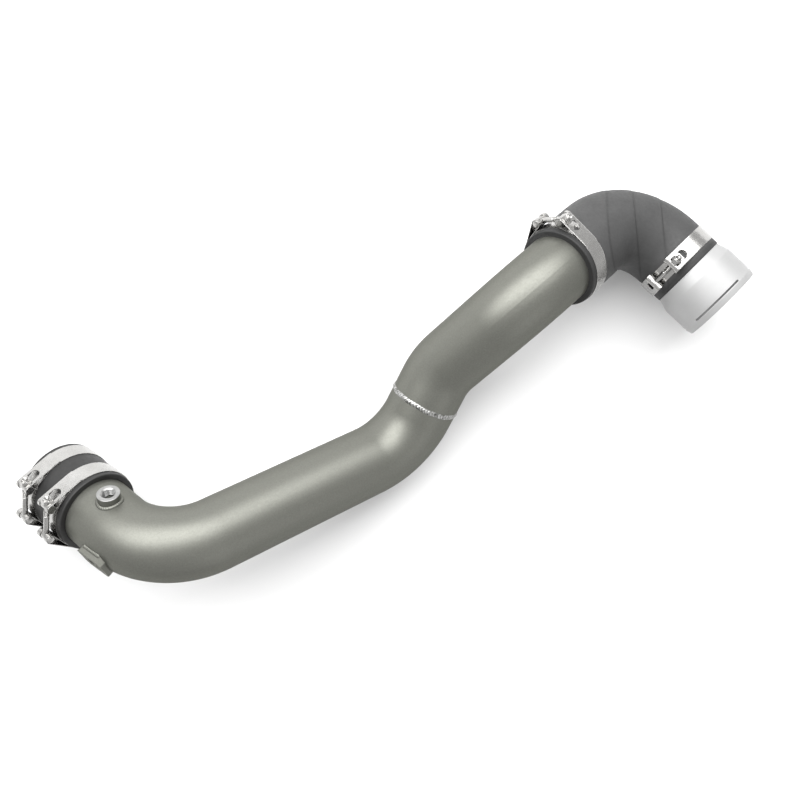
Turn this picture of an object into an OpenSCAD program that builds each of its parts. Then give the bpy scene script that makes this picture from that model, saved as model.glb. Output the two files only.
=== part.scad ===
/* [Tube] */
// Outside diameter of both tubes
tube_od = 76.2; // [70:0.1:84]
// Wall thickness of both tubes
tube_wall = 2; // [1.5:0.1:3]
// Centreline radius of the mandrel bends
bend_r = 76.2; // [70:0.1:110]

/* [Lower tube] */
// Straight run from the coupler to the first bend
lower_lead = 36; // [32:1:70]
// Angle of the first bend
bend_1 = 80.5; // [60:0.5:95]
// Straight run from the first bend to the second
lower_run = 194; // [150:1:240]
// Turn of the second bend about the tube
turn_2 = 92.5; // [75:0.5:110]
// Angle of the second bend
bend_2 = 61; // [45:0.5:75]
// Straight run from the second bend to the weld
lower_tail = 17; // [12:1:40]

/* [Upper tube] */
// Straight run from the weld to the third bend
upper_lead = 22; // [12:1:40]
// Turn of the third bend about the tube
turn_3 = 92.5; // [75:0.5:110]
// Angle of the third bend
bend_3 = 24; // [15:0.5:40]
// Straight run from the third bend to the fourth
upper_run = 73; // [60:1:110]
// Turn of the fourth bend about the tube
turn_4 = 117; // [100:0.5:130]
// Angle of the fourth bend
bend_4 = 64; // [50:0.5:75]
// Straight run from the fourth bend to the elbow hose
upper_tail = 6; // [4:1:30]

/* [Hoses] */
// Wall thickness of the rubber coupler and elbow
hose_wall = 6.2; // [5:0.1:8]
// Length of the straight coupler
coupler_len = 70; // [66:1:90]
// How much narrower than the tube the coupler's open end is
mouth_under = 1.8; // [1.8:0.1:6]
// Length of tube pushed into each hose
grip = 34; // [28:1:36]
// Straight leg of the elbow hose on the tube side
elbow_leg_in = 70; // [60:1:90]
// Turn of the elbow hose about the tube
turn_5 = -97.5; // [-110:0.5:-85]
// Centreline radius of the elbow hose
elbow_r = 67; // [62:1:90]
// Angle of the elbow hose
elbow_angle = 90; // [80:1:95]
// Straight leg of the elbow hose on the adapter side
elbow_leg_out = 33; // [32:1:50]

/* [Quick-connect adapter] */
// Length of the adapter outside the hose
adapter_len = 52; // [48:1:60]
// Bore that receives the cooler's neck
mouth_d = 85.2; // [83:0.1:86]
// Wall thickness of the adapter round that bore
adapter_wall = 4.9; // [4:0.1:7]
// Length of the adapter's spigot inside the hose
spigot_len = 30; // [26:1:31]
// Wall thickness of the spigot
spigot_wall = 2.6; // [2:0.1:4]
// Width of the three retaining clip slots
slot_w = 2.2; // [1.6:0.1:3]
// Arc of each clip slot
slot_arc = 80; // [60:1:90]
// Distance from the clip slots to the mouth
slot_from_mouth = 8.5; // [7:0.5:10]
// Section of the seal ring
seal_d = 2.4; // [2:0.1:2.6]

/* [Sensor bosses] */
// Outside diameter of the threaded bung
bung_od = 23.6; // [20:0.1:26]
// Tapping bore of the bung
bung_bore = 12.6; // [10:0.1:14]
// Height of the bung's rim above the tube
bung_rise = 9; // [7:0.5:14]
// Distance from the coupler to the bung's centre
bung_place = 31; // [28:0.5:34]
// Length of the sensor flange along the tube
flange_len = 36; // [35:1:44]
// Width of the sensor flange across the tube
flange_w = 30; // [26:1:34]
// Height of the flange's face above the tube
flange_rise = 3.5; // [3:0.1:6]
// Sensor bore through the flange
flange_bore = 14; // [10:0.1:15]
// Spacing of the flange's two screws
screw_spacing = 26; // [24:0.5:28]
// Tapping bore of the flange's screws
screw_bore = 4.2; // [3.3:0.1:5]

/* [T-bolt clamps] */
// Width of the clamp bands
band_w = 19; // [18:0.5:20]
// Thickness of the clamp bands
band_t = 0.8; // [0.6:0.05:1]
// Distance from a hose end to its clamp band
band_margin = 5.5; // [4:0.5:7]
// Diameter of the bolt head barrel and of the trunnion
barrel_d = 8; // [7:0.1:9]
// Distance between the barrels of the coupler's clamps
coupler_span = 37; // [34:0.5:40]
// Distance between the barrels of the elbow hose's clamps
elbow_span = 30; // [28:0.5:36]
// Height of the bolt above the hose
bolt_rise = 5.8; // [5.6:0.1:7]
// Diameter of the bolt
bolt_d = 6; // [5:0.1:6.5]
// Nut size across its flats
nut_af = 10; // [9:0.1:10.5]

/* [Hidden] */
$fn = 72;

tube_r = tube_od / 2;
hose_r = tube_r + hose_wall;
coupler_mouth = tube_od - mouth_under;
// a bend draws the section in by this much, and each straight laps into it
draw_in = 0.05;
lap = 0.5;
// extra length of every cutter
over = 1;
// room between the lower tube's end and the shoulder in the coupler
end_gap = 0.3;

// each step is a straight run, a turn about the tube and a bend
lower_steps = [[grip + lower_lead, 0, bend_1], [lower_run, turn_2, bend_2], [lower_tail, 0, 0]];
upper_steps = [[upper_lead, turn_3, bend_3], [upper_run, turn_4, bend_4], [upper_tail + grip, 0, 0]];
hose_steps = [[elbow_leg_in, turn_5, elbow_angle], [elbow_leg_out, 0, 0]];

// the part lies as it comes to rest
rest_turn = [32.7103, 31.8235, 22.3426];
rest_shift = [-338.051, -124.267, 56.707];

coat = [0.51, 0.52, 0.48];
bare_metal = [0.86, 0.86, 0.85];
stainless = [0.8, 0.8, 0.79];
black_rubber = [0.16, 0.16, 0.16];
grey_rubber = [0.36, 0.36, 0.36];

function last(list) = len(list) - 1;

// Placing along the pipe

module past_bend(angle, r) {
    translate([r * (1 - cos(angle)), 0, r * sin(angle)])
        rotate([0, angle, 0])
            children();
}

module past_step(step, r) {
    translate([0, 0, step[0]])
        rotate([0, 0, step[1]])
            past_bend(step[2], r)
                children();
}

module at_rest() {
    translate(rest_shift)
        rotate(rest_turn)
            children();
}

// the lower tube's start, with +X to the inside of its first bend
module at_coupler() {
    at_rest()
        children();
}

module at_weld() {
    at_coupler()
        past_step(lower_steps[0], bend_r)
            past_step(lower_steps[1], bend_r)
                past_step(lower_steps[2], bend_r)
                    children();
}

module at_elbow() {
    at_weld()
        past_step(upper_steps[0], bend_r)
            past_step(upper_steps[1], bend_r)
                translate([0, 0, upper_tail])
                    children();
}

module at_adapter() {
    at_elbow()
        past_step(hose_steps[0], elbow_r)
            past_step(hose_steps[1], elbow_r)
                children();
}

// Bent round stock

module bent_section(angle, r, d) {
    rotate([90, 0, 180])
        translate([-r, 0, 0])
            rotate_extrude(angle = angle)
                translate([r, 0])
                    circle(d = d);
}

module bent_rod(steps, r, d, extra = 0, i = 0) {
    step = steps[i];
    before = i == 0 ? extra : lap;
    after = i == last(steps) ? extra : lap;
    translate([0, 0, -before])
        cylinder(d = d, h = step[0] + before + after);
    if (i < last(steps)) {
        translate([0, 0, step[0]])
            rotate([0, 0, step[1]])
                bent_section(step[2], r, d - 2 * draw_in);
        past_step(step, r)
            bent_rod(steps, r, d, extra, i + 1);
    }
}

module bent_tube(steps, r, outside, inside) {
    difference() {
        bent_rod(steps, r, outside);
        bent_rod(steps, r, inside, over);
    }
}

// Tubes and their weld

module lower_tube() {
    color(coat)
        at_coupler()
            difference() {
                bent_tube(lower_steps, bend_r, tube_od, tube_od - 2 * tube_wall);
                at_bung()
                    cylinder(d = bung_bore + tube_hole, h = 2 * tube_r);
                at_flange()
                    cylinder(d = flange_bore + tube_hole, h = 2 * tube_r);
            }
}

module upper_tube() {
    color(coat)
        at_weld()
            bent_tube(upper_steps, bend_r, tube_od, tube_od - 2 * tube_wall);
}

weld_w = 6.5;
weld_h = 1.3;

module weld_bead() {
    // the bead's crown is a circle through its two toes
    crown_r = (weld_w * weld_w / 4 + weld_h * weld_h) / (2 * weld_h);
    color(bare_metal)
        at_weld()
            rotate_extrude()
                difference() {
                    translate([tube_r + weld_h - crown_r, 0])
                        circle(r = crown_r);
                    translate([0, -crown_r - over])
                        square([tube_r, 2 * (crown_r + over)]);
                }
}

// Bosses on the lower tube, with +Z away from the tube's axis

bung_turn = 91;
flange_turn = 200;
flange_bend = 4.5;
boss_weld = 2.2;
corner = 5;
// the tube is cut wider than each boss's bore, and the boss is relieved over that hole
tube_hole = 3.4;
relief_top = tube_r + 0.3;
// each screw hole is relieved a little higher over the tube, and wider
screw_relief = 1.4;
screw_relief_top = tube_r + 0.5;

module at_bung() {
    translate([0, 0, grip + bung_place])
        rotate([0, 0, bung_turn])
            rotate([0, 90, 0])
                children();
}

module at_flange() {
    translate([0, 0, grip + lower_lead])
        past_bend(flange_bend, bend_r)
            rotate([0, 0, flange_turn])
                rotate([0, 90, 0])
                    children();
}

module seated_on_tube() {
    difference() {
        children();
        bent_rod([lower_steps[0], lower_steps[2]], bend_r, tube_od, $fn = 240);
    }
}

module bung_body(d) {
    cylinder(d = d, h = tube_r + bung_rise);
}

module sensor_bung() {
    rim = 0.8;
    lead_in = 1.3;
    top = tube_r + bung_rise;
    color(coat)
        at_coupler()
            seated_on_tube()
                at_bung()
                    difference() {
                        union() {
                            cylinder(d = bung_od, h = top - rim);
                            translate([0, 0, top - rim])
                                cylinder(d1 = bung_od, d2 = bung_od - 2 * rim, h = rim);
                        }
                        cylinder(d = bung_bore, h = top + over);
                        cylinder(d = bung_bore + tube_hole, h = relief_top);
                        translate([0, 0, top - lead_in])
                            cylinder(d1 = bung_bore, d2 = bung_bore + 2 * lead_in, h = lead_in);
                    }
}

module bung_weld() {
    // the fillet runs down round the tube with the bung's foot
    drop = tube_r - sqrt(tube_r * tube_r - bung_od * bung_od / 4);
    foot = boss_weld + drop;
    color(coat)
        at_coupler()
            seated_on_tube()
                at_bung()
                    difference() {
                        translate([0, 0, tube_r - drop])
                            cylinder(d1 = bung_od + 2 * foot, d2 = bung_od, h = foot);
                        cylinder(d = bung_od, h = 2 * tube_r);
                    }
}

// two tapped holes, relieved where they meet the tube
module screw_holes() {
    for (side = [-1, 1])
        translate([side * screw_spacing / 2, 0, 0]) {
            cylinder(d = screw_bore, h = 2 * tube_r);
            cylinder(d = screw_bore + screw_relief, h = screw_relief_top);
        }
}

module flange_outline(grow = 0) {
    x = flange_len / 2 + grow;
    y = flange_w / 2 + grow;
    polygon([
        [x - corner, -y], [x, corner - y], [x, y - corner], [x - corner, y],
        [corner - x, y], [-x, y - corner], [-x, corner - y], [corner - x, -y]
    ]);
}

module sensor_flange() {
    color(coat)
        at_coupler()
            seated_on_tube()
                at_flange()
                    difference() {
                        translate([0, 0, tube_r / 2])
                            linear_extrude(height = tube_r / 2 + flange_rise)
                                flange_outline();
                        cylinder(d = flange_bore, h = 2 * tube_r);
                        cylinder(d = flange_bore + tube_hole, h = relief_top);
                        screw_holes();
                    }
}

module flange_weld() {
    foot = tube_r - sqrt(tube_r * tube_r - flange_w * flange_w / 4);
    color(coat)
        at_coupler()
            seated_on_tube()
                at_flange()
                    difference() {
                        translate([0, 0, tube_r / 2])
                            linear_extrude(height = tube_r / 2 - foot + flange_rise / 3)
                                flange_outline(boss_weld);
                        linear_extrude(height = 2 * tube_r)
                            flange_outline();
                    }
}

// Rubber

module straight_coupler() {
    color(black_rubber)
        at_coupler()
            difference() {
                translate([0, 0, grip - coupler_len])
                    cylinder(r = hose_r, h = coupler_len);
                translate([0, 0, grip - coupler_len - over])
                    cylinder(d = coupler_mouth, h = coupler_len + over);
                translate([0, 0, -end_gap])
                    cylinder(d = tube_od, h = grip + end_gap + over);
            }
}

module elbow_hose() {
    color(grey_rubber)
        at_elbow()
            bent_tube(hose_steps, elbow_r, 2 * hose_r, tube_od);
}

// Quick-connect adapter, with z = 0 at the hose's end

module adapter() {
    mouth_r = mouth_d / 2;
    body_r = mouth_r + adapter_wall;
    shoulder_r = hose_r - 0.5;
    flare_from = 1.5;
    flare_to = 13.5;
    taper = 1.5;
    floor_z = 18;
    slot_z = adapter_len - slot_from_mouth;
    spigot_in = tube_r - spigot_wall;
    lead_in = 2;
    chamfer = 1;
    color(bare_metal)
        at_adapter()
            difference() {
                rotate_extrude()
                    polygon([
                        [spigot_in, -spigot_len], [tube_r - chamfer, -spigot_len],
                        [tube_r, chamfer - spigot_len], [tube_r, 0],
                        [shoulder_r, 0], [shoulder_r, flare_from], [body_r, flare_to],
                        [body_r, slot_z + slot_w / 2 + chamfer], [body_r - taper, adapter_len],
                        [mouth_r + lead_in, adapter_len], [mouth_r, adapter_len - lead_in],
                        [mouth_r, seal_z + groove_w / 2], [mouth_r + seal_d, seal_z + groove_w / 2],
                        [mouth_r + seal_d, seal_z - groove_w / 2], [mouth_r, seal_z - groove_w / 2],
                        [mouth_r, floor_z], [spigot_in, floor_z - mouth_r + spigot_in]
                    ]);
                for (i = [0:2])
                    rotate([0, 0, slot_turn + 120 * i - slot_arc / 2])
                        translate([0, 0, slot_z])
                            rotate_extrude(angle = slot_arc)
                                translate([mouth_r - over, -slot_w / 2])
                                    square([body_r - mouth_r + 2 * over, slot_w]);
            }
}

seal_z = 30;
groove_w = 3.2;
slot_turn = 321;

module seal_ring() {
    color(black_rubber)
        at_adapter()
            translate([0, 0, seal_z])
                rotate_extrude()
                    translate([mouth_d / 2 + seal_d / 2, 0])
                        circle(d = seal_d);
}

// T-bolt clamps, with +X through the middle of the bolt and +Y towards its nut

bolt_x = hose_r + bolt_rise;
barrel_r = barrel_d / 2;
adapter_margin = 8.5;
bridge_t = 0.6;
slip = 0.05;
band_r = hose_r + slip;

// one end of the band leaves the hose, wraps the barrel and folds back over itself
mid_r = band_r + band_t / 2;
wrap_r = barrel_r + slip + band_t / 2;
fold_r = band_r + band_t + slip + band_t / 2;
fold_arc = 9;
arc_step = 6;
fold_step = 3;

function polar(r, a) = [r * cos(a), r * sin(a)];
function barrel(span) = [bolt_x, span / 2];
function barrel_dir(span) = atan2(span / 2, bolt_x);
function leave_dir(span) = barrel_dir(span) + acos((mid_r + wrap_r) / norm(barrel(span)));
function land_dir(span) = barrel_dir(span) + acos((fold_r - wrap_r) / norm(barrel(span)));

// a path is a list of points, each with the direction of its normal and half the thickness there
function arc(centre, r, from, to, outward, half, step) =
    let (n = ceil(abs(to - from) / step))
    [
        for (i = [0:n])
            let (a = from + (to - from) * i / n)
            [centre + polar(r, a), outward * polar(1, a), half]
    ];
function loop_path(span) =
    let (leave = leave_dir(span), land = land_dir(span))
    concat(
        arc([0, 0], fold_r, land + fold_arc, land, 1, band_t / 2, fold_step),
        arc(barrel(span), wrap_r, land, leave - 180, 1, band_t / 2, arc_step),
        arc([0, 0], mid_r, leave, leave + 2, -1, band_t / 2 - draw_in, fold_step)
    );
function side(path, way) = [for (p = path) p[0] + way * p[2] * p[1]];
function reversed(list) = [for (i = [len(list) - 1:-1:0]) list[i]];

module band_loop(span) {
    path = loop_path(span);
    translate([0, 0, -band_w / 2])
        linear_extrude(height = band_w)
            polygon(concat(side(path, 1), reversed(side(path, -1))));
}

module band_ring(span) {
    gap = leave_dir(span);
    far = 2 * hose_r;
    translate([0, 0, -band_w / 2])
        difference() {
            cylinder(r = band_r + band_t, h = band_w);
            translate([0, 0, -over])
                cylinder(r = band_r, h = band_w + 2 * over);
            translate([0, 0, -over])
                linear_extrude(height = band_w + 2 * over)
                    polygon([[0, 0], polar(far, -gap), [far, 0], polar(far, gap)]);
        }
}

// opening through a loop at +Y, from its gap side to a round end on the sloping fold
module loop_window(span, w, reach) {
    room = 0.5;
    deep = barrel_r + 3;
    translate([bolt_x - bolt_d / 2 - room, span / 2 - deep, -w / 2])
        cube([2 * deep, deep, w]);
    translate([bolt_x + room, span / 2 - deep, -w / 2])
        cube([deep, 2 * deep, w]);
    translate([bolt_x, span / 2, 0])
        rotate([0, 0, land_dir(span)]) {
            translate([0, -over, -w / 2])
                cube([deep, reach + over, w]);
            translate([0, reach, 0])
                rotate([0, 90, 0])
                    cylinder(d = w, h = deep);
        }
}

// the nut's window is the longer one, so that a socket reaches the nut
nut_room = 1.4;
nut_reach = 14;
bolt_room = 2;
bolt_reach = 7;

module clamp_band(span) {
    difference() {
        union() {
            band_ring(span);
            band_loop(span);
            mirror([0, 1, 0])
                band_loop(span);
        }
        loop_window(span, nut_af + nut_room, nut_reach);
        mirror([0, 1, 0])
            loop_window(span, bolt_d + bolt_room, bolt_reach);
    }
}

module clamp_bridge(span) {
    bridge_w = band_w - 3;
    // the bridge ends where the rising band leaves room for it
    half = leave_dir(span) - acos(band_r / (hose_r + bridge_t + 0.15));
    translate([0, 0, -bridge_w / 2])
        rotate([0, 0, -half])
            rotate_extrude(angle = 2 * half)
                translate([hose_r + slip / 2, 0])
                    square([bridge_t, bridge_w]);
}

nut_h = 5;
collar_h = 1.6;
flat_out = barrel_r - 1;

module clamp_t_bolt(span) {
    tip = 1;
    thread = flat_out + nut_h + collar_h + 2;
    translate([bolt_x, -span / 2, -band_w / 2])
        cylinder(d = barrel_d, h = band_w);
    translate([bolt_x, -span / 2, 0])
        rotate([-90, 0, 0]) {
            cylinder(d = bolt_d, h = span + thread);
            translate([0, 0, span + thread])
                cylinder(d1 = bolt_d, d2 = bolt_d - 2 * tip, h = tip);
        }
}

module clamp_trunnion(span) {
    difference() {
        translate([bolt_x, span / 2, -band_w / 2])
            cylinder(d = barrel_d, h = band_w);
        translate([bolt_x, 0, 0])
            rotate([-90, 0, 0])
                cylinder(d = bolt_d + 0.4, h = span);
        translate([bolt_x - barrel_r - over, span / 2 + flat_out, -nut_af / 2 - 1])
            cube([barrel_d + 2 * over, barrel_r, nut_af + 2]);
    }
}

module clamp_nut(span) {
    translate([bolt_x, span / 2 + flat_out, 0])
        rotate([-90, 0, 0])
            difference() {
                union() {
                    cylinder(d = nut_af / cos(30), h = nut_h, $fn = 6);
                    translate([0, 0, nut_h - lap])
                        cylinder(d = nut_af - 1.4, h = collar_h + lap);
                }
                translate([0, 0, -over])
                    cylinder(d = bolt_d, h = nut_h + collar_h + 2 * over);
            }
}

// each clamp: which hose end, clock turn of its bolt, and whether its nut points back
clamp_turns = [167, 167, 120, 342];
clamp_flips = [true, true, false, true];
clamp_spans = [coupler_span, coupler_span, elbow_span, elbow_span];

module at_clamp(i) {
    inset = band_margin + band_w / 2;
    module turned() {
        rotate([0, 0, clamp_turns[i]])
            rotate([clamp_flips[i] ? 180 : 0, 0, 0])
                children();
    }
    if (i == 0)
        at_coupler()
            translate([0, 0, grip - coupler_len + inset])
                turned()
                    children();
    if (i == 1)
        at_coupler()
            translate([0, 0, grip - inset])
                turned()
                    children();
    if (i == 2)
        at_elbow()
            translate([0, 0, inset])
                turned()
                    children();
    if (i == 3)
        at_adapter()
            translate([0, 0, -adapter_margin - band_w / 2])
                turned()
                    children();
}

module clamp_piece(i, piece) {
    span = clamp_spans[i];
    color(stainless)
        at_clamp(i) {
            if (piece == "band")
                clamp_band(span);
            if (piece == "bridge")
                clamp_bridge(span);
            if (piece == "t_bolt")
                clamp_t_bolt(span);
            if (piece == "trunnion")
                clamp_trunnion(span);
            if (piece == "nut")
                clamp_nut(span);
        }
}

lower_tube();
upper_tube();
weld_bead();
sensor_bung();
bung_weld();
sensor_flange();
flange_weld();
straight_coupler();
elbow_hose();
adapter();
seal_ring();
clamp_piece(0, "band");  // clamp_1_band
clamp_piece(0, "bridge");  // clamp_1_bridge
clamp_piece(0, "t_bolt");  // clamp_1_t_bolt
clamp_piece(0, "trunnion");  // clamp_1_trunnion
clamp_piece(0, "nut");  // clamp_1_nut
clamp_piece(1, "band");  // clamp_2_band
clamp_piece(1, "bridge");  // clamp_2_bridge
clamp_piece(1, "t_bolt");  // clamp_2_t_bolt
clamp_piece(1, "trunnion");  // clamp_2_trunnion
clamp_piece(1, "nut");  // clamp_2_nut
clamp_piece(2, "band");  // clamp_3_band
clamp_piece(2, "bridge");  // clamp_3_bridge
clamp_piece(2, "t_bolt");  // clamp_3_t_bolt
clamp_piece(2, "trunnion");  // clamp_3_trunnion
clamp_piece(2, "nut");  // clamp_3_nut
clamp_piece(3, "band");  // clamp_4_band
clamp_piece(3, "bridge");  // clamp_4_bridge
clamp_piece(3, "t_bolt");  // clamp_4_t_bolt
clamp_piece(3, "trunnion");  // clamp_4_trunnion
clamp_piece(3, "nut");  // clamp_4_nut
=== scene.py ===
import math

import bmesh
import bpy
from mathutils import Euler, Matrix, Vector


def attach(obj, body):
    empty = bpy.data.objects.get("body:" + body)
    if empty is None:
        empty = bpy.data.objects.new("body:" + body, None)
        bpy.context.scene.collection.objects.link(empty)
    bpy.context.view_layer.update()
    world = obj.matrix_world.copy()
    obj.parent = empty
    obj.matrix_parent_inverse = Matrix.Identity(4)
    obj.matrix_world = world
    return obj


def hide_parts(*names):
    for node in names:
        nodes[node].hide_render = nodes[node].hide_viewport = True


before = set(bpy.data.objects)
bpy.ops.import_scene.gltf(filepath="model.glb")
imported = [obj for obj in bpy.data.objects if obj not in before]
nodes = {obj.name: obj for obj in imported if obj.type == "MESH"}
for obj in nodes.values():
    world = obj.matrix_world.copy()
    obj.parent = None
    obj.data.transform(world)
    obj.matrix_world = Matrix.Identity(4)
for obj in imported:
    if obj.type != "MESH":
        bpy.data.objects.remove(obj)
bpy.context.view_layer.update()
MM = 0.001

# Sizes from the part's source, in millimetres and degrees
TUBE_R = 38.1
BEND_R = 76.2
GRIP = 34
HOSE_R = 44.3
ELBOW_R = 67
# Steps along a bent tube, as (straight, turn about the tube, bend)
LOWER = [(GRIP + 36, 0, 80.5), (194, 92.5, 61), (17, 0, 0)]
UPPER = [(22, 92.5, 24), (73, 117, 64)]
UPPER_TAIL = 6
ELBOW_LEG = 70
ELBOW_TURN = -97.5
ELBOW_ANGLE = 90
ELBOW_OUT = 33
COUPLER_LEN = 70
COUPLER_MOUTH_R = 37.2
# From the frame at the coupler's stub to the part as it rests
REST_TURN = (32.7103, 31.8235, 22.3426)
REST_SHIFT = (-338.051, -124.267, 56.707)


# Frames along the pipe, with +Z along the tube

def move(x, y, z):
    return Matrix.Translation((x, y, z))


def turn(angle, axis):
    return Matrix.Rotation(math.radians(angle), 4, axis)


def past_bend(angle, r):
    """The frame at the end of a bend towards +X, seen from the bend's start."""
    a = math.radians(angle)
    return move(r * (1 - math.cos(a)), 0, r * math.sin(a)) @ turn(angle, "Y")


def past_steps(start, steps, r):
    """The frame after a list of steps, whose bends share one radius."""
    for straight, roll, bend in steps:
        start = start @ move(0, 0, straight) @ turn(roll, "Z") @ past_bend(bend, r)
    return start


AT_COUPLER = move(*REST_SHIFT) @ Euler([math.radians(a) for a in REST_TURN]).to_matrix().to_4x4()
AT_WELD = past_steps(AT_COUPLER, LOWER, BEND_R)
AT_ELBOW = past_steps(AT_WELD, UPPER, BEND_R) @ move(0, 0, UPPER_TAIL)
AT_ADAPTER = past_steps(AT_ELBOW, [(ELBOW_LEG, ELBOW_TURN, ELBOW_ANGLE), (ELBOW_OUT, 0, 0)], ELBOW_R)


# Materials

# Mesh attribute of painted shade, and of the elbow's darker ends, that a material multiplies its colour by
SHADE = "shade"


class Nodes:
    """A material's node tree, with short names for what each surface needs."""

    def __init__(self, name):
        self.material = bpy.data.materials.new(name)
        self.material.use_nodes = True
        self.tree = self.material.node_tree
        self.shader = self.tree.nodes["Principled BSDF"]
        self.coords = self.tree.nodes.new("ShaderNodeTexCoord").outputs["Object"]

    def link(self, a, b):
        self.tree.links.new(a, b)

    def add(self, kind, **inputs):
        node = self.tree.nodes.new(kind)
        for key, value in inputs.items():
            node.inputs[key.replace("_", " ")].default_value = value
        return node

    def set(self, **inputs):
        for key, value in inputs.items():
            self.shader.inputs[key.replace("_", " ")].default_value = value

    def noise(self, scale, detail=3.0, roughness=0.55, coords=None):
        node = self.add("ShaderNodeTexNoise", Scale=scale, Detail=detail, Roughness=roughness)
        self.link(coords or self.coords, node.inputs["Vector"])
        return node.outputs["Fac"]

    def stretched(self, matrix, scale):
        """Coordinates in another frame, scaled along each of its axes."""
        back = matrix.inverted()
        mapping = self.add("ShaderNodeMapping")
        mapping.vector_type = "POINT"
        mapping.inputs["Rotation"].default_value = back.to_euler()
        mapping.inputs["Location"].default_value = back.to_translation() * MM
        self.link(self.coords, mapping.inputs["Vector"])
        sized = self.add("ShaderNodeMapping")
        sized.inputs["Scale"].default_value = scale
        self.link(mapping.outputs["Vector"], sized.inputs["Vector"])
        return sized.outputs["Vector"]

    def ramp(self, fac, stops):
        node = self.tree.nodes.new("ShaderNodeValToRGB")
        while len(node.color_ramp.elements) < len(stops):
            node.color_ramp.elements.new(0.5)
        for element, (place, colour) in zip(node.color_ramp.elements, stops):
            element.position = place
            element.color = (*colour, 1)
        self.link(fac, node.inputs["Fac"])
        return node.outputs["Color"]

    def levels(self, fac, low, high, start=0.3, end=0.7):
        node = self.tree.nodes.new("ShaderNodeMapRange")
        for key, value in (("From Min", start), ("From Max", end), ("To Min", low), ("To Max", high)):
            node.inputs[key].default_value = value
        self.link(fac, node.inputs["Value"])
        return node.outputs["Result"]

    def shade(self, colour):
        """Multiplies a colour by the grey that keep_shade leaves on the mesh: painted shade, and the elbow's
        darker ends.
        """
        kept = self.tree.nodes.new("ShaderNodeAttribute")
        kept.attribute_name = SHADE
        mix = self.tree.nodes.new("ShaderNodeMix")
        mix.data_type = "RGBA"
        mix.blend_type = "MULTIPLY"
        mix.inputs["Factor"].default_value = 1
        self.link(colour, mix.inputs["A"])
        self.link(kept.outputs["Color"], mix.inputs["B"])
        return mix.outputs["Result"]

    def colour(self, output):
        self.link(output, self.shader.inputs["Base Color"])

    def rough(self, output):
        self.link(output, self.shader.inputs["Roughness"])

    def bump(self, layers):
        """Stacks bumps, each given as height, strength and depth in metres."""
        normal = None
        for height, strength, depth in layers:
            node = self.add("ShaderNodeBump", Strength=strength, Distance=depth)
            self.link(height, node.inputs["Height"])
            if normal:
                self.link(normal, node.inputs["Normal"])
            normal = node.outputs["Normal"]
        self.link(normal, self.shader.inputs["Normal"])


def coat():
    m = Nodes("textured_coat")
    m.set(Metallic=0.85, Specular_IOR_Level=0.45, Specular_Tint=(0.2, 0.2, 0.18, 1), Coat_Weight=0.25,
          Coat_Roughness=0.4)
    m.colour(m.ramp(m.noise(650, 5, 0.7), [(0.3, (0.14, 0.142, 0.125)), (0.7, (0.175, 0.177, 0.158))]))
    m.rough(m.levels(m.noise(420, 3), 0.44, 0.53))
    m.bump([(m.noise(1500, 3, 0.6), 0.25, 0.00006), (m.noise(380, 3), 0.16, 0.0001)])
    return m.material


def bare_weld():
    m = Nodes("bare_weld")
    m.set(Metallic=0.9)
    grain = m.ramp(m.noise(300, 4), [(0.35, (0.14, 0.14, 0.13)), (0.6, (0.52, 0.52, 0.51))])
    # The grain is multiplied by the painted shade in the bead's ripples
    m.colour(m.shade(grain))
    m.rough(m.levels(m.noise(500), 0.28, 0.5))
    m.bump([(m.noise(900, 3), 0.4, 0.0001)])
    return m.material


def bare_rim():
    m = Nodes("bare_rim")
    m.set(Metallic=0.9)
    m.colour(m.ramp(m.noise(120, 3), [(0.3, (0.27, 0.27, 0.265)), (0.7, (0.34, 0.34, 0.335))]))
    m.rough(m.levels(m.noise(700), 0.3, 0.42))
    m.bump([(m.noise(1800, 2), 0.2, 0.00005)])
    return m.material


def stainless():
    m = Nodes("stainless_strip")
    m.set(Metallic=1.0)
    m.colour(m.ramp(m.noise(60, 3), [(0.3, (0.39, 0.385, 0.375)), (0.7, (0.44, 0.435, 0.425))]))
    m.rough(m.levels(m.noise(400, 3), 0.2, 0.3))
    m.bump([(m.noise(1400, 2), 0.03, 0.00003), (m.noise(120, 2), 0.05, 0.0001)])
    return m.material


def rubber(name, dark, light, rough):
    m = Nodes(name)
    m.colour(m.shade(m.ramp(m.noise(70, 4, 0.6), [(0.3, dark), (0.7, light)])))
    m.rough(m.levels(m.noise(300, 3), rough - 0.06, rough + 0.06))
    m.bump([(m.noise(1600, 3), 0.22, 0.00008), (m.noise(260, 2), 0.1, 0.0002)])
    return m.material


def machined():
    m = Nodes("machined_aluminium")
    m.set(Metallic=0.35)
    lathe = m.stretched(AT_ADAPTER, (3, 3, 900))
    m.colour(m.ramp(m.noise(40, 3), [(0.3, (0.33, 0.33, 0.33)), (0.7, (0.35, 0.35, 0.35))]))
    m.rough(m.levels(m.noise(2.2, 4, 0.6, lathe), 0.46, 0.58))
    m.bump([(m.noise(2.2, 2, 0.5, lathe), 0.18, 0.00005), (m.noise(1600, 2), 0.15, 0.00004)])
    return m.material


COAT = coat()
WELD = bare_weld()
RIM = bare_rim()
STEEL = stainless()
BLACK_RUBBER = rubber("black_rubber", (0.008, 0.0078, 0.0075), (0.011, 0.0107, 0.0104), 0.55)
GREY_RUBBER = rubber("grey_rubber", (0.031, 0.031, 0.031), (0.039, 0.039, 0.039), 0.64)
MACHINED = machined()

BY_NODE = {
    "lower_tube": COAT, "upper_tube": COAT, "sensor_bung": COAT, "bung_weld": COAT,
    "sensor_flange": COAT, "flange_weld": COAT, "weld_bead": WELD,
    "straight_coupler": BLACK_RUBBER, "seal_ring": BLACK_RUBBER, "elbow_hose": GREY_RUBBER,
    "adapter": MACHINED,
}
for name, obj in nodes.items():
    material = BY_NODE.get(name, STEEL)
    for s in obj.material_slots:
        s.material = material


# Mesh building, in millimetres

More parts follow.
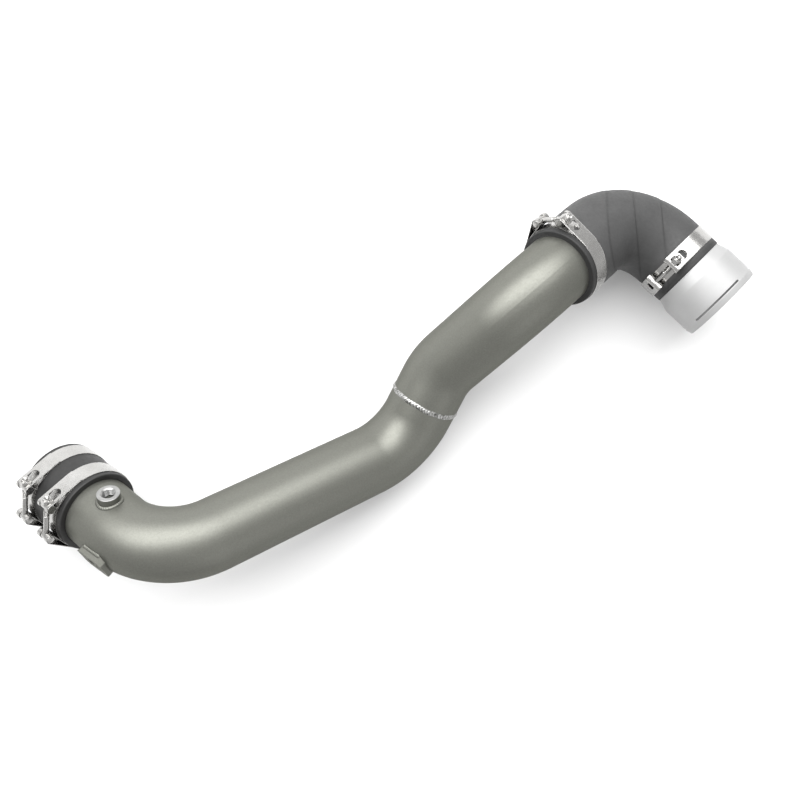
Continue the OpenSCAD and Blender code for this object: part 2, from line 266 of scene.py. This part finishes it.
def rounded(corners, steps=4):
    """Points of a closed outline whose corners are given as (x, y, fillet radius)."""
    points = []
    for i, (x, y, fillet) in enumerate(corners):
        corner = Vector((x, y))
        if not fillet:
            points.append(corner)
            continue
        back = (Vector(corners[i - 1][:2]) - corner).normalized()
        ahead = (Vector(corners[(i + 1) % len(corners)][:2]) - corner).normalized()
        half = back.angle(ahead) / 2
        centre = corner + (back + ahead).normalized() * (fillet / math.sin(half))
        start = (corner + back * (fillet / math.tan(half)) - centre).normalized()
        end = (corner + ahead * (fillet / math.tan(half)) - centre).normalized()
        points += [centre + start.slerp(end, k / steps) * fillet for k in range(steps + 1)]
    return points


def ring_faces(rings, sides, closed=True):
    """Quads between rings of points, with the last ring joined to the first or capped."""
    faces = []
    for i in range(rings if closed else rings - 1):
        a, b = i * sides, (i + 1) % rings * sides
        for j in range(sides):
            k = (j + 1) % sides
            faces.append((a + j, a + k, b + k, b + j))
    if not closed:
        faces.append(tuple(range(sides)))
        faces.append(tuple(range((rings - 1) * sides, rings * sides)))
    return faces


def turned(profile, sides, radius=None):
    """Rings of points about Z for a profile of (r, z), with an optional rule for the radius."""
    points = []
    for r, z in profile:
        for j in range(sides):
            a = 2 * math.pi * j / sides
            reach = radius(r, z, a) if radius else r
            points.append((reach * math.cos(a), reach * math.sin(a), z))
    return points


def new_mesh(name, points, faces, place, sharp=35):
    """A piece from points in the frame place, smooth but for edges over an angle in degrees."""
    mesh = bpy.data.meshes.new(name)
    mesh.from_pydata([(place @ Vector(p)) * MM for p in points], [], faces)
    bm = bmesh.new()
    bm.from_mesh(mesh)
    bmesh.ops.recalc_face_normals(bm, faces=bm.faces)
    bm.to_mesh(mesh)
    bm.free()
    mesh.shade_smooth()
    mesh.set_sharp_from_angle(angle=math.radians(sharp))
    obj = bpy.data.objects.new(name, mesh)
    bpy.context.collection.objects.link(obj)
    return obj


def dress(obj, node, slot, *materials):
    """Puts a piece in the place of a CAD node."""
    for material in materials:
        obj.data.materials.append(material)
    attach(obj, "root")
    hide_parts(node)


def keep_shade(obj, values):
    """Keeps a grey from 0 to 1 at each point of a mesh, for its material to multiply by; it paints shade into
    dips and creases, and darkens the elbow's ends.
    """
    attribute = obj.data.attributes.new(SHADE, "FLOAT_COLOR", "POINT")
    for item, value in zip(attribute.data, values):
        item.color = (value, value, value, 1)


# Weld beads

WELD_SHARP = 60


def wave(x):
    """A ripple from 0 to 1 with a steep back, repeating at every whole number."""
    x = x % 1
    return math.sin(math.pi * x ** 0.6)


def weld_bead():
    half_w, height, ripples, sunk = 3.25, 1.3, 72, 0.1
    sides, across, edge_room = ripples * 8, 11, 0.65
    crown = [(TUBE_R, half_w * (2 * k / across - 1)) for k in range(across + 1)]
    profile = [(TUBE_R - 2 * sunk, half_w)] + crown[::-1] + [(TUBE_R - 2 * sunk, -half_w)]

    def ripple(z, a):
        v = z / half_w
        return wave(ripples * a / (2 * math.pi) + 0.25 * math.sin(7 * a) - 0.9 * v * v)

    def radius(r, z, a):
        if r < TUBE_R:
            return r
        wander = 0.35 * math.sin(3 * a + 1) + 0.2 * math.sin(11 * a + 2)
        v = (z - wander) / (half_w - edge_room)
        full = 0.5 + 0.08 * math.sin(5 * a + 1) + 0.4 * ripple(z, a)
        return r + (height * full + sunk) * max(0.0, 1 - v * v) - sunk

    points = turned(profile, sides, radius)
    obj = new_mesh("weld_ring", points, ring_faces(len(profile), sides), AT_WELD, WELD_SHARP)
    angles = [2 * math.pi * j / sides for j in range(sides)]
    # Painted shade: the bead's colour is darker in the valleys of its ripples
    keep_shade(obj, [0.3 + 0.7 * ripple(z, a) for r, z in profile for a in angles])
    dress(obj, "weld_bead", "bare_weld", WELD)


# Bosses on the lower tube, with +Z away from the tube's axis

BUNG_R = 11.8
BUNG_RISE = 9
BUNG_BORE_R = 6.3
BUNG_PLACE = 31
BUNG_TURN = 91
FLANGE_BEND = 4.5
FLANGE_TURN = 200
FLANGE_W = 30
BITE = 0.05  # how far a weld reaches into its boss
AT_BUNG = AT_COUPLER @ move(0, 0, GRIP + BUNG_PLACE) @ turn(BUNG_TURN, "Z") @ turn(90, "Y")
AT_FLANGE = (AT_COUPLER @ move(0, 0, LOWER[0][0]) @ past_bend(FLANGE_BEND, BEND_R)
             @ turn(FLANGE_TURN, "Z") @ turn(90, "Y"))


def seat(y):
    """Height of the tube's surface above its axis, beside a boss's own axis."""
    return math.sqrt(TUBE_R ** 2 - y ** 2)


def thread(r, z, a, pitch, depth):
    """Radius on a screw thread that is cut outwards from r."""
    phase = (z / pitch - a / (2 * math.pi)) % 1
    return r + depth * max(0.0, min(1.0, 2.6 * (1 - abs(2 * phase - 1)) - 0.6))


def sensor_bung():
    top = TUBE_R + BUNG_RISE
    relief_r, relief_top = BUNG_BORE_R + 1.7, TUBE_R + 0.3
    pitch, depth, lead_in, sides, sunk = 1.5, 0.75, 1.3, 72, 0.1
    outside = [(BUNG_R, "seat")] + [(BUNG_R, TUBE_R + 0.5 * k) for k in range(1, 15)]
    edge = rounded([(BUNG_R, top - 2, 0), (BUNG_R, top, 0.9), (BUNG_BORE_R + lead_in, top, 0.2),
                    (BUNG_BORE_R, top - lead_in, 0)])[1:]
    steps = 8
    turns = int((top - lead_in - relief_top) / pitch * steps)
    bore = [(BUNG_BORE_R, top - lead_in - k * pitch / steps) for k in range(1, turns)]
    inside = [(BUNG_BORE_R, relief_top), (relief_r, relief_top), (relief_r, "seat")]
    profile = outside + [tuple(p) for p in edge] + bore + inside
    points = []
    for i, (r, z) in enumerate(profile):
        for j in range(sides):
            a = 2 * math.pi * j / sides
            threaded = len(outside) + len(edge) <= i < len(profile) - len(inside)
            reach = thread(r, z, a, pitch, depth) if threaded else r
            height = seat(reach * math.sin(a)) - sunk if z == "seat" else z
            points.append((reach * math.cos(a), reach * math.sin(a), height))
    obj = new_mesh("threaded_bung", points, ring_faces(len(profile), sides), AT_BUNG)
    dress(obj, "sensor_bung", "coated_metal", COAT, RIM)
    bare = len(outside) + 1
    for face in obj.data.polygons:
        ring = face.index // sides
        if bare <= ring < len(profile) - 2:
            face.material_index = 1


def fillet_section(steps=5):
    """Outline of a fillet bead from its top on the wall to its toe, as (out, up) from 0 to 1."""
    angles = [0.5 * math.pi * k / steps for k in range(steps + 1)]
    return [(math.sin(a), math.cos(a)) for a in angles]


def bung_weld():
    leg, ripples, sunk = 2.4, 34, 0.15
    sides = ripples * 6
    outline = [(0, -0.2)] + fillet_section() + [(1, -0.2)]
    points = []
    for out, up in outline:
        for j in range(sides):
            a = 2 * math.pi * j / sides
            full = 0.86 + 0.14 * wave(ripples * a / (2 * math.pi) - 0.35 * out)
            r = BUNG_R - BITE + leg * out * full
            foot = seat(r * math.sin(a)) - sunk
            points.append((r * math.cos(a), r * math.sin(a), foot + leg * up * full))
    obj = new_mesh("bung_weld_bead", points, ring_faces(len(outline), sides), AT_BUNG, WELD_SHARP)
    dress(obj, "bung_weld", "coated_metal", COAT)


def flange_weld():
    leg, run, ripples, sunk = 2.1, 26, 13, 0.2
    outline = [(0, -0.3)] + fillet_section() + [(1, -0.3)]
    steps = ripples * 6
    points, faces = [], []
    for side in (-1, 1):
        rings = []
        for k in range(steps + 1):
            t = k / steps
            x = run * (t - 0.5)
            taper = min(1.0, 12 * t + 0.3, 12 * (1 - t) + 0.3)
            for out, up in outline:
                full = taper * (0.84 + 0.16 * wave(ripples * t - 0.35 * out))
                y = FLANGE_W / 2 - BITE + leg * out * full
                rings.append((x, side * y, seat(y) - sunk + leg * up * full))
        faces += [tuple(i + len(points) for i in f) for f in ring_faces(steps + 1, len(outline), False)]
        points += rings
    obj = new_mesh("flange_weld_beads", points, faces, AT_FLANGE, WELD_SHARP)
    dress(obj, "flange_weld", "coated_metal", COAT)


# Rubber

# Planes of the elbow's wrap marks, as distance from the hose's start and normal, in its own frame
WRAPS = [(57.5, (0.61, -0.61, 0.51)), (85.9, (0.64, -0.54, 0.55)), (113.8, (0.65, -0.54, 0.54))]


def hose_point(s, r, a):
    """A point of the elbow hose at the length s along it, in the frame with +X inside the bend."""
    point = Vector((r * math.cos(a), r * math.sin(a), 0))
    if s <= ELBOW_LEG:
        return move(0, 0, s) @ point
    bend = min(math.degrees((s - ELBOW_LEG) / ELBOW_R), ELBOW_ANGLE)
    rest = s - ELBOW_LEG - math.radians(bend) * ELBOW_R
    return move(0, 0, ELBOW_LEG) @ past_bend(bend, ELBOW_R) @ move(0, 0, rest) @ point


def elbow_hose():
    length = ELBOW_LEG + math.radians(ELBOW_ANGLE) * ELBOW_R + ELBOW_OUT
    sides, rows, inner_rows, edge = 160, 340, 60, 1.2
    lap, lap_run, lap_shade = 0.4, 9, 0.14
    crease, crease_w, crease_shade = 0.25, 1.0, 0.35
    dark_end, dark_run, fade_run = 0.42, 4.5, 4
    ply_count, ply_step = 6, 0.25
    planes = [(offset, Vector(normal).normalized()) for offset, normal in WRAPS]

    def edge_row(s, way):
        """The rounded rim at one end, from the inner corner out."""
        arcs = [math.pi * k / 8 for k in range(5)]
        return [(HOSE_R - edge * (1 - math.sin(a)), s + way * edge * (1 - math.cos(a))) for a in arcs]

    start, end = edge_row(0, 1), edge_row(length, -1)
    middle = [(HOSE_R, edge + (length - 2 * edge) * k / rows) for k in range(1, rows)]
    inner = [(TUBE_R, length - length * k / inner_rows) for k in range(inner_rows + 1)]
    plies = [TUBE_R + (HOSE_R - edge - TUBE_R) * k / ply_count for k in range(1, ply_count)]
    face_in = [(r, ply_step * (k % 2)) for k, r in enumerate(plies)]
    face_out = [(r, length - ply_step * (k % 2)) for k, r in enumerate(plies)][::-1]
    profile = start + middle + end[::-1] + face_out + inner + face_in
    outer = len(start) + len(middle) + len(end)
    points, shades = [], []
    for i, (r, s) in enumerate(profile):
        for j in range(sides):
            a = 2 * math.pi * j / sides
            point = hose_point(s, r, a)
            shade = 1.0
            if i < outer:
                sunk = 0.0
                for offset, normal in planes:
                    past = point.dot(normal) - offset
                    beyond = max(past, 0.0)
                    step = min(1.0, max(0.0, past / crease_w + 0.5))
                    sunk += lap * step * math.exp(-beyond / lap_run)
                    groove = math.exp(-(past / crease_w) ** 2)
                    sunk += crease * groove
                    # Painted shade: darker in each wrap mark's groove and just past its step
                    dip = lap_shade * step * math.exp(-beyond / (0.5 * lap_run))
                    shade *= 1 - crease_shade * groove - dip
                point = hose_point(s, r - sunk, a)
                # The colour is also darker near both ends, and the inner and end faces take the darkest value
                near_end = min(s, length - s)
                shade *= 1 - (1 - dark_end) * (1 - min(1.0, max(0.0, (near_end - dark_run) / fade_run)))
            else:
                shade = dark_end
            points.append(point)
            shades.append(shade)
    place = AT_ELBOW @ turn(ELBOW_TURN, "Z")
    obj = new_mesh("wrapped_elbow", points, ring_faces(len(profile), sides), place)
    keep_shade(obj, shades)
    dress(obj, "elbow_hose", "grey_rubber", GREY_RUBBER)


def straight_coupler():
    start, end, edge, gap = GRIP - COUPLER_LEN, GRIP, 1.2, 0.3
    sides, row_gap = 144, 1.5
    corners = rounded([
        (HOSE_R, start, edge), (HOSE_R, end, edge), (TUBE_R, end, 0.4), (TUBE_R, -gap, 0),
        (COUPLER_MOUTH_R, -gap, 0), (COUPLER_MOUTH_R, start, 0.8)
    ])
    profile = []
    for i, p in enumerate(corners):
        q = corners[(i + 1) % len(corners)]
        cuts = max(1, int((q - p).length / row_gap))
        profile += [p.lerp(q, k / cuts) for k in range(cuts)]
    points = turned([tuple(p) for p in profile], sides)
    obj = new_mesh("rubber_sleeve", points, ring_faces(len(profile), sides), AT_COUPLER)
    keep_shade(obj, [1.0] * len(obj.data.vertices))
    dress(obj, "straight_coupler", "black_rubber", BLACK_RUBBER)


def seal_ring():
    ring = nodes["seal_ring"]
    obj = bpy.data.objects.new("socket_seal", ring.data.copy())
    bpy.context.collection.objects.link(obj)
    obj.data.materials.clear()
    keep_shade(obj, [1.0] * len(obj.data.vertices))
    dress(obj, "seal_ring", "black_rubber", BLACK_RUBBER)


# Quick-connect adapter, with z = 0 at the hose's end

def adapter():
    body_r, mouth_r, length = 47.5, 42.6, 52
    spigot_len, spigot_r, shoulder_r = 30, TUBE_R - 2.6, HOSE_R - 0.5
    shoulder_z, body_z, floor_z = 1.5, 13.5, 18
    seal_z, groove_half, groove_r = 30, 1.6, 45
    slot_z, slot_half, slot_arc, slot_turn, slots = 43.5, 1.1, 80, 321, 3
    groove_low, groove_high = seal_z - groove_half, seal_z + groove_half
    slot_low, slot_high = slot_z - slot_half, slot_z + slot_half
    corners = [
        (spigot_r, -spigot_len, 0.3), (TUBE_R, -spigot_len, 0.9), (TUBE_R, 0, 0),
        (shoulder_r, 0, 0.5), (shoulder_r, shoulder_z, 1), (body_r, body_z, 7),
        (body_r, slot_low, 0), (body_r, slot_high, 0), (body_r, slot_high + 1, 0.6),
        (body_r - 1.5, length, 0.8), (mouth_r + 2, length, 0.4), (mouth_r, length - 2, 0.4),
        (mouth_r, slot_high, 0), (mouth_r, slot_low, 0),
        (mouth_r, groove_high, 0.15), (groove_r, groove_high, 0),
        (groove_r, groove_low, 0), (mouth_r, groove_low, 0.15),
        (mouth_r, floor_z, 0.6), (spigot_r, floor_z - mouth_r + spigot_r, 2)
    ]
    profile = [tuple(p) for p in rounded(corners, 5)]
    at_slot = [i for i, (r, z) in enumerate(profile) if abs(abs(z - slot_z) - slot_half) < 1e-3]
    out_low, out_high, in_high, in_low = at_slot
    sides = 180
    step, first = 360 / sides, slot_turn - slot_arc / 2
    angles = [math.radians(first + step * j) for j in range(sides)]
    points = [(r * math.cos(a), r * math.sin(a), z) for r, z in profile for a in angles]
    in_slot = [any((step * j - 360 / slots * k) % 360 < slot_arc for k in range(slots)) for j in range(sides)]
    faces = []
    for i in range(len(profile)):
        for j in range(sides):
            if i in (out_low, in_high) and in_slot[j]:
                continue
            k, b = (j + 1) % sides, (i + 1) % len(profile)
            faces.append((i * sides + j, i * sides + k, b * sides + k, b * sides + j))
    for j in range(sides):
        k = (j + 1) % sides
        if in_slot[j]:
            for a, b in ((out_low, in_low), (out_high, in_high)):
                faces.append((a * sides + j, a * sides + k, b * sides + k, b * sides + j))
            for edge, neighbour in ((j, in_slot[j - 1]), (k, in_slot[k])):
                if not neighbour:
                    faces.append(tuple(i * sides + edge for i in at_slot))
    obj = new_mesh("quick_connect_adapter", points, faces, AT_ADAPTER)
    dress(obj, "adapter", "machined_aluminium", MACHINED)


# T-bolt clamps, with +X through the middle of the bolt and +Y towards its nut

BARREL_R = 4
BOLT_R = 3
BOLT_RISE = 5.8
BOLT_X = HOSE_R + BOLT_RISE
SLIP = 0.05
BAND_T = 0.8
BAND_W = 19
BAND_MID = HOSE_R + SLIP + BAND_T / 2
WRAP_R = BARREL_R + SLIP + BAND_T / 2
FOLD_R = HOSE_R + BAND_T + 2 * SLIP + BAND_T / 2
FOLD_ARC = 9
FLAT_OUT = BARREL_R - 1
NUT_AF = 10
NUT_H = 5
COLLAR_H = 1.6
NUT_WINDOW = (NUT_AF + 1.4, 14)  # width and reach of the window that the nut needs
BOLT_WINDOW = (2 * BOLT_R + 2, 7)
SPOT_Z = 5.2
INSET = 15  # from a hose's end to the middle of its band
ADAPTER_INSET = 18
COUPLER_SPAN = 37
ELBOW_SPAN = 30
# Each clamp's centre, turn about the hose, whether it is flipped, and the span between its loops
CLAMPS = [
    (AT_COUPLER @ move(0, 0, GRIP - COUPLER_LEN + INSET), 167, True, COUPLER_SPAN),
    (AT_COUPLER @ move(0, 0, GRIP - INSET), 167, True, COUPLER_SPAN),
    (AT_ELBOW @ move(0, 0, INSET), 120, False, ELBOW_SPAN),
    (AT_ADAPTER @ move(0, 0, -ADAPTER_INSET), 342, True, ELBOW_SPAN),
]


def polar(r, angle, x=0.0, y=0.0):
    """A point at a distance and an angle in degrees from (x, y)."""
    a = math.radians(angle)
    return Vector((x + r * math.cos(a), y + r * math.sin(a)))


def tangent_dirs(span):
    """Directions in which the band leaves the hose for its barrel, and lands on the hose again."""
    reach = math.hypot(BOLT_X, span / 2)
    middle = math.degrees(math.atan2(span / 2, BOLT_X))
    leave = middle + math.degrees(math.acos((BAND_MID + WRAP_R) / reach))
    land = middle + math.degrees(math.acos((FOLD_R - WRAP_R) / reach))
    return leave, land


def band_path(span):
    """Middle line of the band, from the folded end at +Y round the hose to the one at -Y."""
    tail_steps, slope_steps, wrap_steps, rise_steps, hose_steps = 12, 40, 32, 16, 112
    leave, land = tangent_dirs(span)
    tail = [polar(FOLD_R, land + FOLD_ARC - FOLD_ARC * k / tail_steps) for k in range(tail_steps + 1)]
    start = polar(WRAP_R, land, BOLT_X, span / 2)
    slope = [tail[-1].lerp(start, k / slope_steps) for k in range(1, slope_steps)]
    swing = leave - 180 - land
    wrap = [polar(WRAP_R, land + swing * k / wrap_steps, BOLT_X, span / 2) for k in range(wrap_steps + 1)]
    touch = polar(BAND_MID, leave)
    rise = [wrap[-1].lerp(touch, k / rise_steps) for k in range(1, rise_steps)]
    half = tail + slope + wrap + rise
    sweep = 360 - 2 * leave
    round_hose = [polar(BAND_MID, leave + sweep * k / hose_steps) for k in range(hose_steps + 1)]
    return half + round_hose + [Vector((p.x, -p.y)) for p in reversed(half)]


def band_section(edge=0.25, columns=18):
    """Outline of the strip as (out, z), with its broad faces in even columns."""
    t, w = BAND_T / 2, BAND_W / 2
    corners = rounded([(t, -w, edge), (t, w, edge), (-t, w, edge), (-t, -w, edge)], 2)
    outline = []
    for i, p in enumerate(corners):
        q = corners[(i + 1) % len(corners)]
        cuts = columns if (q - p).length > 2 else 1
        outline += [p.lerp(q, k / cuts) for k in range(cuts)]
    return outline


def spot_welds(place, z, spots, r=1.7, depth=0.22):
    """How far a point of the folded end is pressed in by its spot welds."""
    pressed = 0.0
    for x, y, height in spots:
        away = math.hypot(place.x - x, place.y - y, z - height) / r
        pressed = max(pressed, depth * max(0.0, 1 - away ** 2))
    return pressed


def window_tools(span, side, width, reach):
    """Closed tools for the opening in one loop, as pairs of outlines with faces between them.

    Two blocks free the bolt and its nut, and a slot with a round end runs down the slope.
    Each is a little wider than the one before, so that no two of them share a plane.
    """
    land = tangent_dirs(span)[1]
    deep, step = BARREL_R + 3, 0.01
    y = span / 2
    tools = []
    for k, (x0, x1, y0, y1) in enumerate([(BOLT_X - BOLT_R - 0.5, BOLT_X + 2 * deep, y - deep, y),
                                          (BOLT_X + 0.5, BOLT_X + 2 * deep + step, y - 1, y + deep)]):
        half = width / 2 + k * step
        tools.append([[Vector((x, at, z)) for x, at in ((x0, y0), (x1, y0), (x1, y1), (x0, y1))]
                      for z in (-half, half)])
    half = width / 2 + 2 * step
    slope = move(BOLT_X, y, 0) @ turn(land, "Z")
    arc = [polar(half, 180 * k / 16 - 90) for k in range(17)]
    outline = [(-1, -half)] + [(reach + p.x, p.y) for p in arc] + [(-1, half)]
    tools.append([[slope @ Vector((x, *p)) for p in outline] for x in (0, deep + 1)])
    return [[[Vector((p.x, side * p.y, p.z)) for p in end] for end in tool] for tool in tools]


def cut(obj, tools, place):
    """Cuts tools out of a piece and keeps the result as its mesh."""
    made = []
    for ends in tools:
        count = len(ends[0])
        faces = [tuple(range(count)), tuple(range(count, 2 * count))]
        faces += [(k, (k + 1) % count, count + (k + 1) % count, count + k) for k in range(count)]
        tool = new_mesh("tool", ends[0] + ends[1], faces, place)
        modifier = obj.modifiers.new("cut", "BOOLEAN")
        modifier.operation = "DIFFERENCE"
        modifier.solver = "EXACT"
        modifier.object = tool
        made.append(tool)
    result = bpy.data.meshes.new_from_object(obj.evaluated_get(bpy.context.evaluated_depsgraph_get()))
    obj.modifiers.clear()
    old, obj.data = obj.data, result
    bpy.data.meshes.remove(old)
    for tool in made:
        mesh = tool.data
        bpy.data.objects.remove(tool)
        bpy.data.meshes.remove(mesh)


def clamp_band(name, place, span):
    path = band_path(span)
    section = band_section()
    land = tangent_dirs(span)[1]
    spot = polar(FOLD_R + BAND_T / 2, land + 0.6 * FOLD_ARC)
    spots = [(spot.x, side * spot.y, z) for side in (-1, 1) for z in (-SPOT_Z, SPOT_Z)]
    points = []
    for i, p in enumerate(path):
        ahead = path[min(i + 1, len(path) - 1)] - path[max(i - 1, 0)]
        out = Vector((ahead.y, -ahead.x)).normalized()
        for t, z in section:
            at = p - out * t
            at += out * (spot_welds(at, z, spots) if t < 0 else 0.0)
            points.append((at.x, at.y, z))
    obj = new_mesh(name, points, ring_faces(len(path), len(section), False), place)
    cut(obj, window_tools(span, 1, *NUT_WINDOW) + window_tools(span, -1, *BOLT_WINDOW), place)
    obj.data.shade_smooth()
    obj.data.set_sharp_from_angle(angle=math.radians(35))
    return obj


def t_bolt(name, place, span):
    """A round cross bar at -Y with a shank that is threaded from below its nut to its tip."""
    sides, bar_sides, steps = 32, 40, 6
    pitch, depth, slack, thread_run = 1.0, 0.55, 0.12, 13
    past_nut, tip, chamfer = 2, 1.0, 0.75
    length = span + FLAT_OUT + NUT_H + COLLAR_H + past_nut + tip
    thread_from = span - thread_run
    threaded = int((length - thread_from) / pitch * steps)
    rows = [0.0, thread_from - 1] + [thread_from + k * pitch / steps for k in range(threaded)] + [length]
    points = []
    for z in rows:
        for j in range(sides):
            a = 2 * math.pi * j / sides
            fade = min(1.0, max(0.0, (z - thread_from) / pitch))
            r = BOLT_R - slack - fade * (thread(0, z, a, pitch, depth) - slack)
            r = min(r, BOLT_R - chamfer + (length - z))
            points.append((BOLT_X + r * math.cos(a), -span / 2 + z, -r * math.sin(a)))
    faces = ring_faces(len(rows), sides, False)
    half, edge = BAND_W / 2, 0.7
    bar = rounded([(0, -half, 0), (BARREL_R, -half, edge), (BARREL_R, half, edge), (0, half, 0)], 3)
    bar = [tuple(p) for p in bar[1:-1]]
    bar_points = [(x + BOLT_X, y - span / 2, z) for x, y, z in turned(bar, bar_sides)]
    faces += [tuple(i + len(points) for i in f) for f in ring_faces(len(bar), bar_sides, False)]
    return new_mesh(name, points + bar_points, faces, place, 40)


def lock_nut(name, place, span):
    """A hex nut with eased corners and a round collar, on the flat of the trunnion at +Y."""
    sides, chamfer, collar_r, bore = 96, 0.55, 4.5, BOLT_R - 0.05
    corner_r = NUT_AF / 2 / math.cos(math.radians(30))

    def hexagon(r, z, a):
        if r < corner_r - 1e-6:
            return r
        flat = NUT_AF / 2 / math.cos((a + math.pi / 6) % (math.pi / 3) - math.pi / 6)
        slope = 1.7 * min(z, NUT_H - z)
        return min(flat, NUT_AF / 2 - 0.1 + slope)

    eased = [0, 0.1, 0.2, 0.32, 0.44, chamfer]
    rows = eased + [NUT_H - z for z in reversed(eased)]
    top = NUT_H + COLLAR_H
    collar = rounded([(collar_r, NUT_H, 0), (collar_r, top, 0.7), (bore, top, 0.3), (bore, 0, 0.3)], 3)
    profile = [(corner_r, z) for z in rows] + [tuple(p) for p in collar]
    upright = turn(-90, "X")
    base = Vector((BOLT_X, span / 2 + FLAT_OUT, 0))
    points = [base + upright @ Vector(p) for p in turned(profile, sides, hexagon)]
    return new_mesh(name, points, ring_faces(len(profile), sides), place, 30)


def clamps():
    for i, (centre, clock, flipped, span) in enumerate(CLAMPS, 1):
        place = centre @ turn(clock, "Z") @ turn(180 if flipped else 0, "X")
        for make, piece, node in ((clamp_band, "strap", "band"), (t_bolt, "threaded_bolt", "t_bolt"),
                                  (lock_nut, "lock_nut", "nut")):
            obj = make(f"clamp_{i}_{piece}", place, span)
            dress(obj, f"clamp_{i}_{node}", "stainless_steel", STEEL)


# Floor, light and camera

def floor():
    size, gap = 2.6, 0.0005
    bpy.ops.mesh.primitive_plane_add(size=size, location=(0, 0, -gap))
    plane = bpy.context.object
    plane.name = "floor"
    m = Nodes("pale_floor")
    m.set(Roughness=0.9, Specular_IOR_Level=0.1)
    m.colour(m.ramp(m.noise(3, 2), [(0.3, (0.77, 0.77, 0.77)), (0.7, (0.79, 0.79, 0.79))]))
    plane.data.materials.append(m.material)


def lamp(name, place, target, size, power):
    """A rectangular lamp that faces a target, with its size in metres and its power in watts."""
    data = bpy.data.lights.new(name, "AREA")
    data.shape = "RECTANGLE"
    data.size, data.size_y = size
    data.energy = power
    obj = bpy.data.objects.new(name, data)
    obj.location = place
    obj.rotation_euler = (Vector(target) - Vector(place)).to_track_quat("-Z", "Y").to_euler()
    bpy.context.collection.objects.link(obj)


def light():
    """A world that is white to the camera and pale grey to every other ray, with two soft lamps."""
    grey, middle = 0.74, (0, 0, 0.08)
    world = bpy.data.worlds.new("studio")
    bpy.context.scene.world = world
    world.use_nodes = True
    tree = world.node_tree
    background = tree.nodes["Background"]
    background.inputs["Strength"].default_value = 1
    path = tree.nodes.new("ShaderNodeLightPath")
    mix = tree.nodes.new("ShaderNodeMix")
    mix.data_type = "RGBA"
    mix.inputs["A"].default_value = (grey, grey, grey, 1)
    mix.inputs["B"].default_value = (1, 1, 1, 1)
    tree.links.new(path.outputs["Is Camera Ray"], mix.inputs["Factor"])
    tree.links.new(mix.outputs["Result"], background.inputs["Color"])
    lamp("key", (-0.5, 1.35, 1.65), middle, (4.2, 1.8), 145)
    lamp("fill", (1.1, -1.4, 1.3), middle, (1.5, 1.5), 5)


def camera():
    """The camera that was fitted to the photo, in metres."""
    place = (-0.18654295, 0.15607306, 1.12099414)
    data = bpy.data.cameras.new("camera")
    data.lens = 45
    data.sensor_width = 36
    obj = bpy.data.objects.new("camera", data)
    bpy.context.collection.objects.link(obj)
    rows = [(0.984233381, 0.0302946968, -0.174260962),
            (0, 0.985222954, 0.171276768),
            (0.176874678, -0.168576281, 0.969689324)]
    obj.matrix_world = Matrix.Translation(place) @ Matrix(rows).to_4x4()
    bpy.context.scene.camera = obj


weld_bead()
sensor_bung()
bung_weld()
flange_weld()
elbow_hose()
straight_coupler()
seal_ring()
adapter()
clamps()
floor()
light()
camera()
bpy.context.scene.view_settings.view_transform = "Standard"
